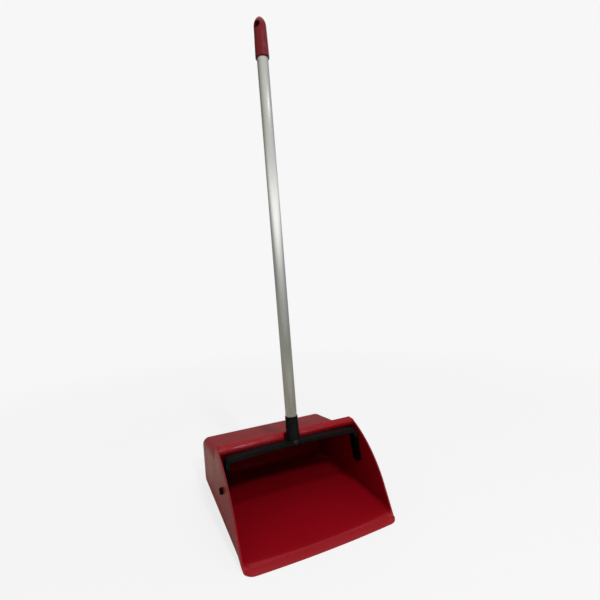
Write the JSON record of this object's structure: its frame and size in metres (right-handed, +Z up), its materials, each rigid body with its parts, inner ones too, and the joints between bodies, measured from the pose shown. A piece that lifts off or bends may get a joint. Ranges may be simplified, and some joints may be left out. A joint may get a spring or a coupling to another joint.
{
  "type": "long-handled lobby dustpan",
  "caption": "Long-handled lobby dustpan: a hooded moulded pan with a ramped mouth and rolled lip, hinged on a yoke at the foot of an upright tube handle with a hanging grip.",
  "frame": {"origin": "on the floor under the middle of the object's bounding box, at the pan's underside", "axes": "+Z up along the upright handle, -Y out of the pan's mouth, +X across the pan to the right of the mouth seen from the front"},
  "size_m": [0.2974, 0.318, 0.9466],
  "materials": {
    "pan_plastic": "glossy moulded polypropylene, red",
    "yoke_plastic": "satin moulded plastic, black",
    "tube_aluminium": "satin drawn aluminium",
    "grip_plastic": "glossy moulded plastic, red",
    "screw_steel": "blackened steel"
  },
  "bodies": {
    "pan": {"pan": "pan_plastic"},
    "handle": {"yoke": "yoke_plastic", "handle_tube": "tube_aluminium", "hand_grip": "grip_plastic", "fixing_screw": "screw_steel"}
  },
  "joints": [
    {"name": "handle_hinge", "type": "hinge", "parent": "pan", "child": "handle", "pos_m": [0, -0.0327, 0.0759], "axis": [1, 0, 0], "range_deg": [0, 98]}
  ]
}
